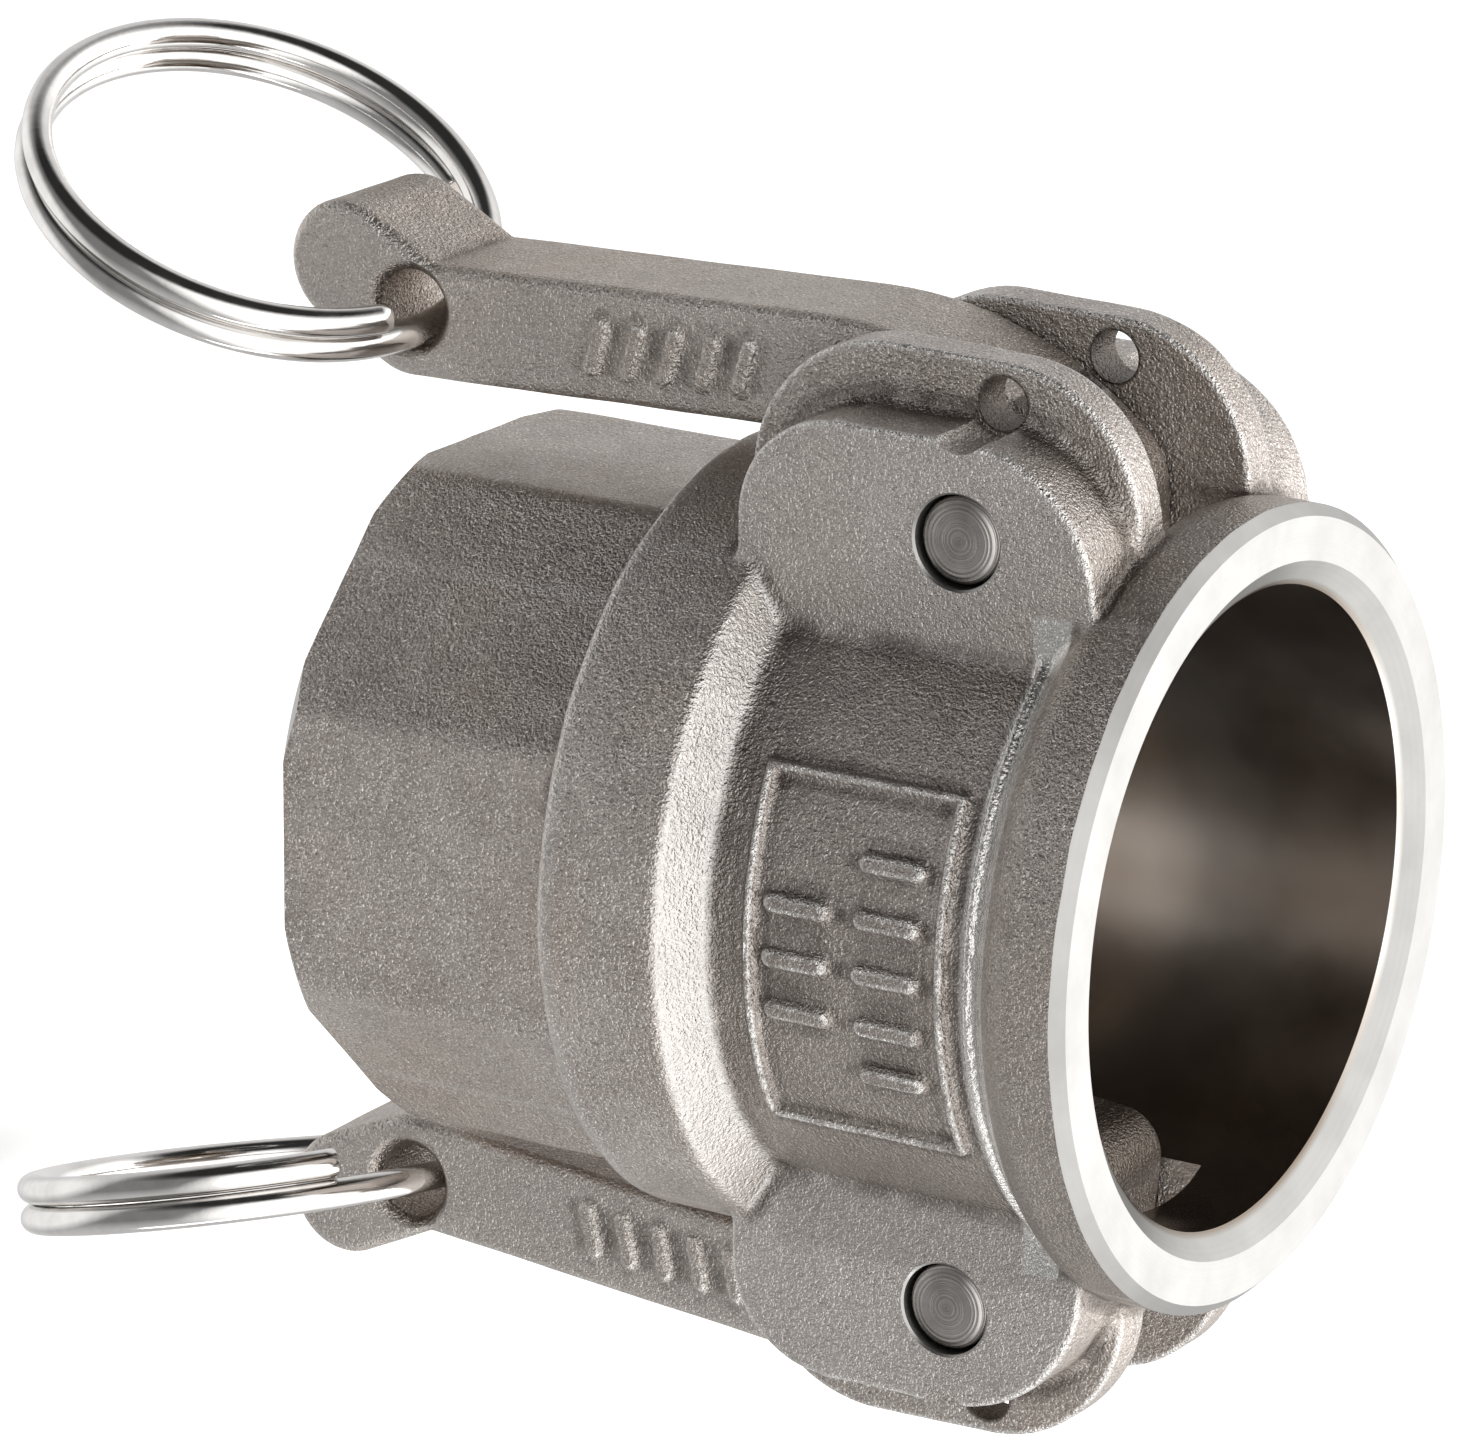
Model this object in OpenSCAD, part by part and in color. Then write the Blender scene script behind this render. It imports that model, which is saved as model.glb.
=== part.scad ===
// Camlock coupler, 1 1/4 inch, with a female pipe thread and two cam arms.
// Millimetres. The bore runs along Z: the pipe end lies on Z = 0 and the mouth faces +Z.
// The arms stand on the -X and +X sides and turn on pins that run along Y.

/* [Body] */
// Length from the pipe end to the mouth face
body_length = 66.2; // [64:0.1:70]
// Radius over the corners of the octagonal wrench section
octagon_r = 27; // [26:0.1:28]
// Radius of the round shoulder band
shoulder_r = 28.9; // [28.2:0.1:29.5]
// Height at which the shoulder band starts
shoulder_z = 23.9; // [23:0.1:25]
// Radius of the waist between shoulder and collar
waist_r = 25.4; // [25:0.1:26.5]
// Radius of the collar behind the mouth
collar_r = 29; // [28.5:0.1:29.5]

/* [Bore] */
// Radius of the guide land just inside the mouth, which centres the adapter
land_r = 23.1; // [22.9:0.05:23.3]
// Radius of the socket behind the guide land
socket_r = 23.4; // [23.3:0.05:23.6]
// Radius of the machined thread bore
thread_r = 19.25; // [18.5:0.05:20]
// Depth of the thread bore
thread_depth = 20; // [16:0.5:21]
// Radius of the waterway between thread and gasket
waterway_r = 17.4; // [16:0.1:18]

/* [Gasket] */
// Outer radius of the gasket
gasket_r = 24.6; // [24.2:0.1:24.7]
// Inner radius of the gasket
gasket_bore_r = 17.45; // [17:0.05:18.5]
// Thickness of the gasket
gasket_h = 5.56; // [5:0.01:5.7]

/* [Ears] */
// Distance from the bore axis to each pivot pin
pin_x = 28.1; // [28:0.1:28.4]
// Height of the pivot pins
pin_z = 50; // [49.5:0.1:50.5]
// Half the gap between the two ears of a pair
ear_gap_y = 6.1; // [6:0.05:6.4]
// Distance from the middle to the outer face of the tall ear plate
plate_y = 9.6; // [9:0.1:10.5]
// Distance from the middle to the outer face of the thick ear boss
boss_y = 15.8; // [15:0.1:16.5]
// Radius of the safety pin holes through the ear plates
lock_hole_r = 1.9; // [1.5:0.05:2]
// Distance from the bore axis to the safety pin holes
lock_hole_x = 36.6; // [36.5:0.1:37]
// Radius of the groove that each safety pin hole leaves in the rim of the thick boss
lock_groove_r = 2.25; // [2.1:0.05:2.4]

/* [Pivot pins] */
// Radius of the pivot pins
pivot_r = 3.175; // [3:0.025:3.25]
// Radial running clearance of the arm on its pin
pivot_clearance = 0.05; // [0.02:0.01:0.1]

/* [Cam arms] */
// Width of an arm along its pin
arm_w = 11.6; // [11:0.1:11.9]
// Angle that the left arm leans in past parallel to the bore
lean_left = 1.4; // [0:0.1:4.9]
// Angle that the right arm leans in past parallel to the bore
lean_right = 4.9; // [0:0.1:4.9]
// Radius of the pull ring hole near the arm tip
ring_hole_r = 2.85; // [2.8:0.05:3]

/* [Pull rings] */
// Radius from the ring's centre to the middle of its wire
ring_r = 17.2; // [16:0.1:18]
// Radius of the ring wire
wire_r = 1.12; // [1:0.01:1.15]
// Angle at which the left ring hangs, from straight down towards the outside
swing_left = 26.7; // [0:0.1:30]
// Angle at which the right ring hangs, from straight down towards the outside
swing_right = 13.6; // [0:0.1:30]
// Angle that the left ring is twisted in the slack of its hole
twist_left = 10.5; // [0:0.5:11]
// Angle that the right ring is twisted in the slack of its hole
twist_right = 9.5; // [0:0.5:11]
// Angle that each ring leans along its own plane, towards the front
ring_roll = 12; // [0:0.5:12]

/* [Hidden] */
$fn = 96;
eps = 0.01;
over = 2;

// Heights along the bore
seat_z = thread_depth + 6.2;
groove_top_z = seat_z + gasket_h + 0.06;
groove_r = gasket_r + 0.2;
shoulder_top_z = shoulder_z + 10.4;
waist_top_z = body_length - 8.9;
collar_z = body_length - 5.5;
land_depth = 7.6;
mouth_chamfer_z = body_length - 1.4;
mouth_chamfer_r = 25;
rim_r = 28.1;

// Sweep of the cam inside its window, and the depth of the pin ends below the boss faces
window_r = 10.35;
pin_recess = 0.4;
pin_chamfer = 0.35;
pin_seat_r = pivot_r;
pin_mouth_r = pivot_r + 0.12;
pin_mouth_depth = 0.9;

// Arm outline, measured from its pin: u points away from the bore and w towards the mouth
head_r = 5;
outer_u = 12;
outer_w = -20;
back_arc_r = (outer_u * outer_u + outer_w * outer_w - head_r * head_r) / (2 * (outer_u - head_r));
back_arc_u = outer_u - back_arc_r;
back_arc_end = atan2(-outer_w, -back_arc_u);
inner_u = 3.4;
nose_u = -9.8;
nose_top_r = 3.4;
nose_low_r = 3;
nose_low_w = -5.5;
ring_hole_u = 8.5;
ring_hole_w = -51.8;
tip_u = 11.2;
tip_w = -57.6;
tip_r = 4.7;
heel_r = 4.9;
notch_w = -49.8;

// Ring: where the wire crosses the middle of its hole, up from the hole's centre and outwards
wire_up_left = 0.95;
wire_up_right = 1.1;
wire_out_left = 0;
wire_out_right = 0.5;
wire_sides = 10;
wire_step = 0.025;
coil_pitch = 2 * wire_r + 0.04;

// Turns of wire before and after the hole
coil_left = [-0.85, 0.915];
coil_right = [-0.92, 0.876];

function arc(cx, cy, r, from, to, n) =
    [for (i = [0:n]) let (a = from + (to - from) * i / n) [cx + r * cos(a), cy + r * sin(a)]];

steel_cast = [0.47, 0.45, 0.43];
steel_bright = [0.78, 0.78, 0.77];
rubber_black = [0.08, 0.08, 0.08];

module ring_of(profile) {
    rotate_extrude() polygon(profile);
}

// A slab between two distances along Y, drawn in the X-Z plane
module slab(y0, y1) {
    translate([0, y1, 0]) rotate([90, 0, 0]) linear_extrude(y1 - y0) children();
}

module cast_core() {
    intersection() {
        rotate(22.5) cylinder(r = octagon_r, h = shoulder_z + over, $fn = 8);
        ring_of([
            [0, 0],
            [octagon_r - 1.2, 0],
            [octagon_r + 0.2, 1.4],
            [octagon_r + 0.2, shoulder_z + over],
            [0, shoulder_z + over],
        ]);
    }
    ring_of([
        [0, shoulder_z],
        [shoulder_r - 0.8, shoulder_z],
        [shoulder_r, shoulder_z + 0.8],
        [shoulder_r, shoulder_top_z - 0.9],
        [shoulder_r - 0.9, shoulder_top_z],
        [waist_r + 1.2, shoulder_top_z + 0.8],
        [waist_r, shoulder_top_z + 2],
        [waist_r, waist_top_z],
        [collar_r - 0.3, collar_z],
        [collar_r, collar_z + 0.5],
        [collar_r, body_length - 1],
        [rim_r, body_length],
        [0, body_length],
    ]);
}

// Outline of the tall plate that carries the safety pin hole
module plate_outline() {
    low_x = 28.8;
    low_z = 40.6;
    high_x = 28.5;
    translate([high_x, pin_z - 0.1]) circle(r = 11.1);
    translate([low_x, low_z]) circle(r = 10.9);
    translate([waist_r - 6, low_z]) square([low_x + 10.9 - waist_r + 6, pin_z - low_z]);
    translate([waist_r - 6, low_z - 10.9]) square([low_x - waist_r + 6, 20]);
    translate([waist_r - 6, pin_z]) square([high_x - waist_r + 6, 11]);
}

// Outline of the thick boss that holds the pin
module boss_outline() {
    high_x = 24.4;
    low_x = 27.5;
    low_z = 40;
    low_r = 7.7;
    inner_x = 16;
    translate([high_x, pin_z]) circle(r = 10.9);
    translate([low_x, low_z]) circle(r = low_r);
    translate([inner_x, low_z]) square([low_x + low_r - inner_x, pin_z - low_z]);
    translate([inner_x, low_z - low_r]) square([low_x - inner_x, low_r]);
    translate([inner_x, pin_z]) square([high_x - inner_x, 10.9]);
}

module ear() {
    slab(ear_gap_y, plate_y) plate_outline();
    slab(plate_y - 1, boss_y) boss_outline();
}

// A thin raised frame with plain raised pips, where a maker's panel sits on the waist
module waist_panel() {
    panel_h = 15.4;
    panel_z = 47.3;
    half_angle = 28.5;
    rib = 0.9;
    rise = 0.45;
    rotate(-90)
        intersection() {
            difference() {
                cylinder(r = waist_r + rise, h = body_length);
                cylinder(r = waist_r - 1, h = body_length);
            }
            rotate([0, 90, 0]) linear_extrude(waist_r + over) panel_pattern(panel_z, panel_h, half_angle, rib);
        }
}

// The panel's pattern, with its first axis pointing down the bore
module panel_pattern(mid_z, height, half_angle, rib) {
    half_w = waist_r * sin(half_angle);
    pip_r = 1;
    translate([-mid_z, 0]) {
        difference() {
            square([height, 2 * half_w], center = true);
            square([height - 2 * rib, 2 * (half_w - rib)], center = true);
        }
        for (row = [-1, 1])
            for (i = [-2:2])
                translate([row * height / 5, i * half_w / 3]) circle(r = pip_r, $fn = 24);
    }
}

module pin_holes(side) {
    translate([side * pin_x, 0, pin_z]) rotate([90, 0, 0]) {
        cylinder(r = pin_seat_r, h = 2 * boss_y + over, center = true);
        for (end = [-1, 1])
            translate([0, 0, end * (boss_y - pin_mouth_depth / 2 + eps)])
                cylinder(r = pin_mouth_r, h = pin_mouth_depth + 2 * eps, center = true);
    }
}

// A safety pin hole through both ear plates, with its groove along the thick bosses
module lock_hole(side) {
    translate([side * lock_hole_x, 0, pin_z]) {
        rotate([90, 0, 0]) cylinder(r = lock_hole_r, h = 2 * plate_y + eps, center = true);
        for (end = [0, 1])
            mirror([0, end, 0])
                translate([0, boss_y + over, 0]) rotate([90, 0, 0])
                    cylinder(r = lock_groove_r, h = boss_y + over - plate_y);
    }
}

module body() {
    color(steel_cast)
        difference() {
            union() {
                cast_core();
                waist_panel();
                for (side = [0, 1], end = [0, 1])
                    mirror([side, 0, 0]) mirror([0, end, 0]) ear();
            }
            // Thread bore, waterway, gasket groove, socket and mouth
            translate([0, 0, -1]) cylinder(r = thread_r, h = thread_depth + 1);
            translate([0, 0, thread_depth - 1]) cylinder(r = waterway_r, h = seat_z);
            translate([0, 0, seat_z]) cylinder(r = groove_r, h = groove_top_z - seat_z);
            translate([0, 0, groove_top_z - eps])
                cylinder(r = socket_r, h = body_length - land_depth - groove_top_z + eps);
            translate([0, 0, groove_top_z]) cylinder(r = land_r, h = body_length);
            ring_of([
                [0, mouth_chamfer_z],
                [land_r, mouth_chamfer_z],
                [mouth_chamfer_r, body_length],
                [mouth_chamfer_r, body_length + 1],
                [0, body_length + 1],
            ]);
            for (side = [-1, 1]) {
                pin_holes(side);
                translate([side * pin_x, 0, pin_z]) rotate([90, 0, 0])
                    cylinder(r = window_r, h = 2 * ear_gap_y, center = true);
                lock_hole(side);
            }
        }
}

module gasket() {
    bead = 0.6;
    color(rubber_black)
        translate([0, 0, seat_z])
            ring_of([
                [gasket_bore_r + bead, 0],
                [gasket_r - bead, 0],
                [gasket_r, bead],
                [gasket_r, gasket_h - bead],
                [gasket_r - bead, gasket_h],
                [gasket_bore_r + bead, gasket_h],
                [gasket_bore_r, gasket_h - bead],
                [gasket_bore_r, bead],
            ]);
}

module pivot_pin(side) {
    half_l = boss_y - pin_recess;
    dimple_r = 0.6;
    color(steel_bright)
        translate([side * pin_x, 0, pin_z]) rotate([90, 0, 0])
            ring_of([
                [0, -half_l + dimple_r],
                [dimple_r, -half_l],
                [pivot_r - pin_chamfer, -half_l],
                [pivot_r, -half_l + pin_chamfer],
                [pivot_r, half_l - pin_chamfer],
                [pivot_r - pin_chamfer, half_l],
                [dimple_r, half_l],
                [0, half_l - dimple_r],
            ]);
}

// The arm's side outline, from the inner face round the tip, up the back and over the cam
module arm_outline() {
    polygon(concat(
        [[inner_u, -12.5], [inner_u, ring_hole_w]],
        arc(inner_u + heel_r, ring_hole_w, heel_r, 180, 215, 4),
        arc(tip_u, tip_w, tip_r, 212, 384, 16),
        [[outer_u, notch_w]],
        arc(back_arc_u, outer_w, back_arc_r, 0, back_arc_end, 12),
        arc(0, 0, head_r, back_arc_end + 5, 90, 5),
        arc(nose_u + nose_top_r, head_r + 0.2 - nose_top_r, nose_top_r, 90, 180, 8),
        arc(nose_u + nose_low_r, nose_low_w + nose_low_r, nose_low_r, 180, 270, 8),
        [[-3, nose_low_w]]
    ));
}

module arm_blank() {
    pin_bore_r = pivot_r + pivot_clearance;
    rim = 0.8;
    difference() {
        slab(-arm_w / 2, arm_w / 2) arm_outline();
        rotate([90, 0, 0]) cylinder(r = pin_bore_r, h = arm_w + over, center = true);
        translate([ring_hole_u, 0, ring_hole_w]) rotate([90, 0, 0]) {
            cylinder(r = ring_hole_r, h = arm_w + over, center = true);
            for (end = [-1, 1])
                translate([0, 0, end * arm_w / 2]) rotate([90 - 90 * end, 0, 0])
                    translate([0, 0, -rim]) cylinder(r1 = ring_hole_r, r2 = ring_hole_r + 2 * rim, h = 2 * rim);
        }
    }
}

// Places a thing drawn from the pin, with X outwards, on the left (-1) or the right (1)
module on_pin(side, lean) {
    mirror([side < 0 ? 1 : 0, 0, 0])
        translate([pin_x, 0, pin_z])
            rotate([0, lean, 0])
                children();
}

module cam_arm(side, lean) {
    color(steel_cast) on_pin(side, lean) arm_blank();
}

// Centre line of the split ring: t counts turns from the hole, across its own middle at [0, 0, 0]
function coil_point(t) = [
    ring_r * sin(360 * t),
    coil_pitch * t,
    ring_r * cos(360 * t),
];
function coil_tangent(t) = [cos(360 * t), 0, -sin(360 * t)];
function coil_normal(t) = [sin(360 * t), 0, cos(360 * t)];

// One round cross-section of the wire
function wire_loop(t) = [
    for (k = [0:wire_sides - 1])
        let (a = 360 * k / wire_sides)
        coil_point(t) + wire_r * (cos(a) * coil_normal(t) + sin(a) * [0, 1, 0])
];

module coil(turns) {
    count = round((turns[1] - turns[0]) / wire_step);
    points = [for (i = [0:count]) each wire_loop(turns[0] + (turns[1] - turns[0]) * i / count)];
    start_face = [for (k = [0:wire_sides - 1]) k];
    end_face = [for (k = [wire_sides - 1:-1:0]) count * wire_sides + k];
    sides = [
        for (i = [0:count - 1], k = [0:wire_sides - 1])
            let (next = (k + 1) % wire_sides)
            [
                i * wire_sides + k,
                (i + 1) * wire_sides + k,
                (i + 1) * wire_sides + next,
                i * wire_sides + next,
            ]
    ];
    polyhedron(points = points, faces = concat([start_face], sides, [end_face]), convexity = 6);
}

// Hangs the coil from the arm's ring hole, its wire running through the hole along Y
module pull_ring(side, lean, swing, twist, wire_up, wire_out, turns) {
    hole_x = pin_x + ring_hole_u * cos(lean) + ring_hole_w * sin(lean);
    hole_z = pin_z - ring_hole_u * sin(lean) + ring_hole_w * cos(lean);
    color(steel_bright)
        translate([side * hole_x, 0, hole_z])
            rotate([0, -side * swing, 0])
                translate([wire_out, 0, wire_up])
                    rotate([0, 0, 90 - side * twist])
                        rotate([0, ring_roll, 0])
                            translate([0, 0, -ring_r])
                                coil(turns);
}

body();
gasket();
pivot_pin(-1);  // pivot_pin_left
pivot_pin(1);  // pivot_pin_right
cam_arm(-1, lean_left);  // cam_arm_left
cam_arm(1, lean_right);  // cam_arm_right
pull_ring(-1, lean_left, swing_left, twist_left, wire_up_left, wire_out_left, coil_left);  // pull_ring_left
pull_ring(1, lean_right, swing_right, twist_right, wire_up_right, wire_out_right, coil_right);  // pull_ring_right
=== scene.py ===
import math

import bmesh
import bpy
import numpy as np
from mathutils import Matrix, Vector


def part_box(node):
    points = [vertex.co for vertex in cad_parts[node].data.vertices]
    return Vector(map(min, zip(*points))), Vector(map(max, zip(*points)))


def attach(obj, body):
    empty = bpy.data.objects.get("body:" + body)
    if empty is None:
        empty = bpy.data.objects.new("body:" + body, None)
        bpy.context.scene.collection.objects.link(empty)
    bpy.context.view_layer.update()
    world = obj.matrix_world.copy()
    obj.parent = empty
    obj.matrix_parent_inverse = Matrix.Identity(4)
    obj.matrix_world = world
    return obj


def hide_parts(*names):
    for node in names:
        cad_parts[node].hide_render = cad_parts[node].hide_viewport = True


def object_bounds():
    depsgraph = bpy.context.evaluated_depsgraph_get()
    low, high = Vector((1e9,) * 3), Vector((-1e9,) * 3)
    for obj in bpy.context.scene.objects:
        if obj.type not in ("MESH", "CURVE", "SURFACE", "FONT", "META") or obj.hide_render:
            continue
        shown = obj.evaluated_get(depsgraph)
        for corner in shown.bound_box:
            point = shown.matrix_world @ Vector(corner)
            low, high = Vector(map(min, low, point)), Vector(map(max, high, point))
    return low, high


# Every shape below is drawn in millimetres in the row frame and brought to metres as its object is made.
MM = 0.001

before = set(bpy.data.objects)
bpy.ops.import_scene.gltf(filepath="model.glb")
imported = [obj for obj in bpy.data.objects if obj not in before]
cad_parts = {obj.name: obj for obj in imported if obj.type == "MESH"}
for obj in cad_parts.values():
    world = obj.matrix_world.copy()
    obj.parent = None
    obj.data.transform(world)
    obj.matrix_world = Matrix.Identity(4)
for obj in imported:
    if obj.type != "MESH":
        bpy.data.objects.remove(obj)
cad_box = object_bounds()

GRID = 0.28      # pitch of the grid on which the cast shapes are traced
MARGIN = 1.2                            # room left round a shape by its grid, and by what cuts through it
LATHE_SIDES = 192

# Body, along the bore
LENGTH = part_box("body")[1].z / MM
APOTHEM = 24.94
SHOULDER_R, SHOULDER_LOW, SHOULDER_HIGH = 28.9, 23.9, 34.3
STEP_ACROSS, STEP_ALONG = 0.596, 0.803      # which way the sloped step from shoulder to waist faces
WAIST_R = 25.4
COLLAR_R, COLLAR_LOW = 28.95, 57.3
BEAD_R = 0.42
OCTAGON_ROUND, SHOULDER_ROUND, COLLAR_ROUND = 0.8, 0.9, 1.0
STEP_FILLET, FLANK_FILLET, OCTAGON_FILLET, EAR_FILLET = 0.8, 0.6, 1.4, 0.7
BODY_WAVE, ARM_WAVE = 0.05, 0.03            # height of the slow waves of a cast skin
RIM_R, PIPE_RIM_R, PIPE_BEVEL = 28.1, 25.7, 1.7
LATHE_CLEAR_R = 46.0                        # past the ears, which the lathe leaves alone
FACE_IN_R, LAND_R, MOUTH_CHAMFER = 24.95, 23.1, 1.4
GROOVE_R, GROOVE_LOW, GROOVE_HIGH = 24.8, 26.2, 31.8
WATERWAY_R = 17.4

# Pipe thread, 11 1/2 turns to the inch, 1 in 16 taper
THREAD_DEPTH, THREAD_PITCH, THREAD_HEIGHT = 20.0, 2.209, 1.55
THREAD_CREST_R, TAPER = 19.45, 1 / 32

# Ears: a thin inner plate and a thick outer boss, both drawn in x and z for the right-hand pair
PIN_X, PIN_Z, PIN_R = 28.1, 50.0, 3.175
EAR_ROOT, EAR_TOP = 12.0, 60.9
EAR_IN, PLATE_OUT, BOSS_OUT = 6.1, 9.6, 15.8
PLATE_HEAD, PLATE_FOOT, PLATE_R, PLATE_LOW = (28.5, 49.9), (28.7, 40.7), 11.0, 29.75
BOSS_HEAD, BOSS_HEAD_R, BOSS_FOOT, BOSS_FOOT_R = (24.4, 50.0), 10.9, (27.5, 40.0), 7.7
BOSS_SIDE, BOSS_FILLET, PLATE_EDGE, BOSS_EDGE = 35.25, 1.3, 0.35, 0.4
LOCK_X, LOCK_R, LOCK_GROOVE_R = 36.6, 1.9, 2.25
WINDOW_R = 10.35
BODY_REACH = (39.8, 29.6)
PIN_HOLE_R, PIN_HOLE_RIM, PIN_SUNK = 3.38, 0.16, 0.4

# Raised panel on the waist: z and angle from -Y towards -X
PANEL_Z, PANEL_HALF_Z = 47.15, 7.65
PANEL_TURN, PANEL_HALF_TURN = math.radians(-1.5), math.radians(30)
PANEL_RISE, PANEL_LINE, PANEL_SLOPE = 0.55, 0.36, 0.35
PANEL_NUB_Z, PANEL_NUB_R = -1.7, 0.45
PANEL_ROWS, PANEL_BAR, PANEL_BAR_R, PANEL_SPACING = ((3.3, 5), (-3.9, 3)), 3.8, 0.7, 3.9

# Cam arms, from the pin: u away from the bore, w towards the mouth
ARM_HALF_W, ARM_EDGE = 5.8, 0.95
ARM_REACH = (-10, -6.4, -62.6), (16.6, 6.0, 5.6)
ARM_INNER_U, ARM_BACK, ARM_HEAD_R = 3.4, (12.0, -17.5), 5.1
ARM_HEEL, ARM_HOOK, ARM_NECK = (8.3, -51.8, 4.9), (11.2, -57.6, 4.7), (12.0, -49.8)
ARM_NOSE_TOP, ARM_NOSE_LOW, ARM_THROAT = (-6.4, 1.9, 3.4), (-6.8, -2.5, 3.0), (-3.0, -5.5)
ARM_BARS, ARM_BAR_LOW, ARM_BAR_SPACING = 5, -36.0, 3.1
ARM_BAR_U, ARM_BAR_LEAN, ARM_BAR_R, ARM_BAR_RISE = (6.0, 9.0), 0.9, 0.55, 0.3
LEAN = {"left": math.radians(1.4), "right": math.radians(4.9)}
SIDE = {"left": -1, "right": 1}
RING_HOLE = (8.5, -51.8)
RING_HOLE_R, RING_HOLE_RIM = 2.85, 0.8

# Split pull rings
COIL_R, WIRE_R, COIL_PITCH = 17.2, 1.12, 2.28
COIL_ENDS = {"left": (-0.85, 0.915), "right": (-0.92, 0.876)}
WIRE_UP = {"left": 0.95, "right": 1.1}
WIRE_OUT = {"left": 0.0, "right": 0.5}
SWING = {"left": math.radians(26.7), "right": math.radians(13.6)}
TWIST = {"left": math.radians(10.5), "right": math.radians(9.5)}
ROLL = math.radians(12)

# The cast skin: its proud faces, the painted shade on its waist, and the colour of its worn edges and painted
# highlights
PROUD, WAIST_SHADE, WORN_AND_HIGHLIGHT = (0.66, 0.635, 0.605), (0.27, 0.235, 0.21), (0.86, 0.84, 0.81)

# Studio: how bright it is by direction, the floor in metres, and the camera in millimetres and degrees
ROOM_FRONT, ROOM_BACK, ROOM_RIGHT, ROOM_LEFT = 0.24, 0.85, 0.6, 0.03
UNDERSIDE, CEILING = 1.1, 1.55
FLOOR_DROP, FLOOR_HALF = 0.006, 3.0
CAMERA_PLACE, CAMERA_AIM, CAMERA_ROLL = (-176.07, -473.19, 314.09), (-0.70, 15.13, 12.78), 100.666
CAMERA_LENS, CAMERA_SENSOR = 197.395, 36.0


# ---------------------------------------------------------------- distance fields

def smooth_min(a, b, k):
    """The lower of two distances, with a fillet of about k where they meet."""
    h = np.maximum(k - np.abs(a - b), 0) / k
    return np.minimum(a, b) - h * h * k * 0.25


def smooth_max(a, b, k):
    """The higher of two distances, with a round of about k where they meet."""
    return -smooth_min(-a, -b, k)


def slab(v, low, high):
    """Distance to the space between two parallel planes, negative inside."""
    return np.maximum(low - v, v - high)


def both_of(da, db):
    """Distance to what two crossing spaces share, round outside their corner."""
    outside = np.sqrt(np.maximum(da, 0) ** 2 + np.maximum(db, 0) ** 2)
    return outside + np.minimum(np.maximum(da, db), 0)


def box2(a, b, a_low, a_high, b_low, b_high):
    return both_of(slab(a, a_low, a_high), slab(b, b_low, b_high))


def capsule2(a, b, start, end, r):
    """Distance to a straight bar with round ends."""
    ax, bx = end[0] - start[0], end[1] - start[1]
    t = np.clip(((a - start[0]) * ax + (b - start[1]) * bx) / (ax * ax + bx * bx), 0, 1)
    return np.sqrt((a - start[0] - t * ax) ** 2 + (b - start[1] - t * bx) ** 2) - r


def circle2(a, b, centre, r):
    return np.sqrt((a - centre[0]) ** 2 + (b - centre[1]) ** 2) - r


def polygon2(a, b, points):
    """Signed distance to a closed outline, negative inside."""
    best = np.full(np.broadcast(a, b).shape, 1e9, np.float32)
    sign = np.ones_like(best)
    for (ax, ay), (bx, by) in zip(points, points[1:] + points[:1]):
        ex, ey, px, py = bx - ax, by - ay, a - ax, b - ay
        t = np.clip((px * ex + py * ey) / (ex * ex + ey * ey), 0, 1)
        best = np.minimum(best, (px - ex * t) ** 2 + (py - ey * t) ** 2)
        above, below = b >= ay, b < by
        left = ex * py > ey * px
        flips = (above & below & left) | (~above & ~below & ~left)
        sign = np.where(flips, -sign, sign)
    return sign * np.sqrt(best)


def extrude(d2, v, low, high, edge):
    """An outline swept from low to high, its rims rounded by edge."""
    return both_of(d2 + edge, slab(v, low, high) + edge) - edge


def unevenness(x, y, z, height):
    """The slow waves of an as-cast skin."""
    a = np.sin(x * 0.37 + 1.3) * np.sin(y * 0.41 + 0.4) * np.sin(z * 0.33)
    b = np.sin(x * 0.83 - y * 0.61 + 2.0) * np.sin(z * 0.71 + y * 0.5)
    return height * (a + 0.5 * b)


# ---------------------------------------------------------------- body casting

def panel_marks(along, across):
    """Distance to the panel's plain raised bars: a row of five and a row of three."""
    d = np.full(np.broadcast(along, across).shape, 1e9, np.float32)
    for row, count in PANEL_ROWS:
        for i in range(count):
            place = (i - (count - 1) / 2) * PANEL_SPACING
            start, end = (row - PANEL_BAR / 2, place), (row + PANEL_BAR / 2, place)
            d = np.minimum(d, capsule2(along, across, start, end, PANEL_BAR_R))
    return d


def panel_relief(x, y, z):
    """How far the panel's frame and bars stand above the waist."""
    turn = np.arctan2(-x, -y)
    across = (turn - PANEL_TURN) * WAIST_R
    along = z - PANEL_Z
    half = PANEL_HALF_TURN * WAIST_R
    frame_d = np.abs(box2(along, across, -PANEL_HALF_Z, PANEL_HALF_Z, -half, half)) - PANEL_LINE
    nub = circle2(along, across, (PANEL_NUB_Z, half), PANEL_NUB_R)
    d = np.minimum(np.minimum(frame_d, nub), panel_marks(along, across))
    return PANEL_RISE * np.clip(0.5 - d / PANEL_SLOPE, 0, 1)


def octagon_blank(x, y, z):
    """The pipe end, which runs on into the shoulder."""
    flats = smooth_max(np.abs(x), np.abs(y), OCTAGON_ROUND)
    corners = smooth_max(np.abs(x + y), np.abs(x - y), 1.1) * math.sqrt(0.5)
    octagon = smooth_max(flats, corners, OCTAGON_ROUND) - APOTHEM
    return smooth_max(octagon, slab(z, -0.8, SHOULDER_LOW + 3), OCTAGON_ROUND)


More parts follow.
